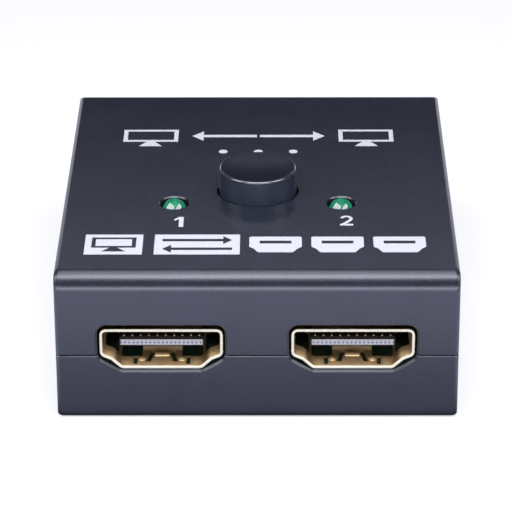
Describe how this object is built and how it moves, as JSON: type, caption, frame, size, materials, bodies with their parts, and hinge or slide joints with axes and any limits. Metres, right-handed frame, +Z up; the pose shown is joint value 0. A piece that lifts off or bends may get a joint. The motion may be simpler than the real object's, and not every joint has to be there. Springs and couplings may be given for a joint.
{
  "type": "video switch box",
  "caption": "Small slate grey two shell box with gold video sockets in front and behind, a round self locking push button on top and green lamps that show the chosen socket.",
  "frame": {"origin": "middle of the flat underside, on the surface that the box stands on", "axes": "+X to the right seen from the front, +Y from the front sockets towards the rear socket, +Z up"},
  "size_m": [0.048, 0.056, 0.0221],
  "materials": {
    "case_grey": "satin, fine grain, dark slate grey",
    "button_black": "satin black",
    "inner_black": "moulded black",
    "shell_gold": "thin bright gold plate on stamped sheet",
    "contact_gold": "gold plate",
    "steel": "zinc plated",
    "spring_steel": "bright drawn wire",
    "tin": "dull tin plate",
    "lamp_green": "clear green cast resin",
    "board_green": "green solder mask",
    "capacitor_tan": "fired ceramic, tan"
  },
  "bodies": {
    "housing": {"top_cover": "case_grey", "bottom_cover": "case_grey", "cover_screws": "steel", "main_board": "board_green", "switch_case": "inner_black", "switch_frame": "steel", "switch_spring": "spring_steel", "switch_terminals": "tin", "lamp_lens_1": "lamp_green", "lamp_lens_2": "lamp_green", "lamp_leads_1": "tin", "lamp_leads_2": "tin", "socket_shell_1": "shell_gold", "socket_shell_2": "shell_gold", "socket_shell_out": "shell_gold", "socket_insert_1": "inner_black", "socket_insert_2": "inner_black", "socket_insert_out": "inner_black", "socket_contacts_1": "contact_gold", "socket_contacts_2": "contact_gold", "socket_contacts_out": "contact_gold", "switch_chip": "inner_black", "chip_leads": "tin", "resistors": "inner_black", "capacitors": "capacitor_tan"},
    "button": {"button_cap": "button_black", "switch_plunger": "inner_black", "contact_bridges": "contact_gold"},
    "latch": {"latch_wire": "spring_steel"}
  },
  "joints": [
    {"name": "button_press", "type": "slide", "parent": "housing", "child": "button", "axis": [0, 0, -1], "range_m": [0, 0.002], "stiffness_N_per_m": 600, "springref_m": -0.0015, "deforming": ["switch_spring"]},
    {"name": "latch_swing", "type": "hinge", "parent": "housing", "child": "latch", "pos_m": [0, -0.0006, 0.0077], "axis": [0, 1, 0], "range_deg": [0, 15.7]}
  ],
  "couplings": [
    {"joint": "latch_swing", "follows": "button_press", "rad_per_m": 136.3}
  ]
}
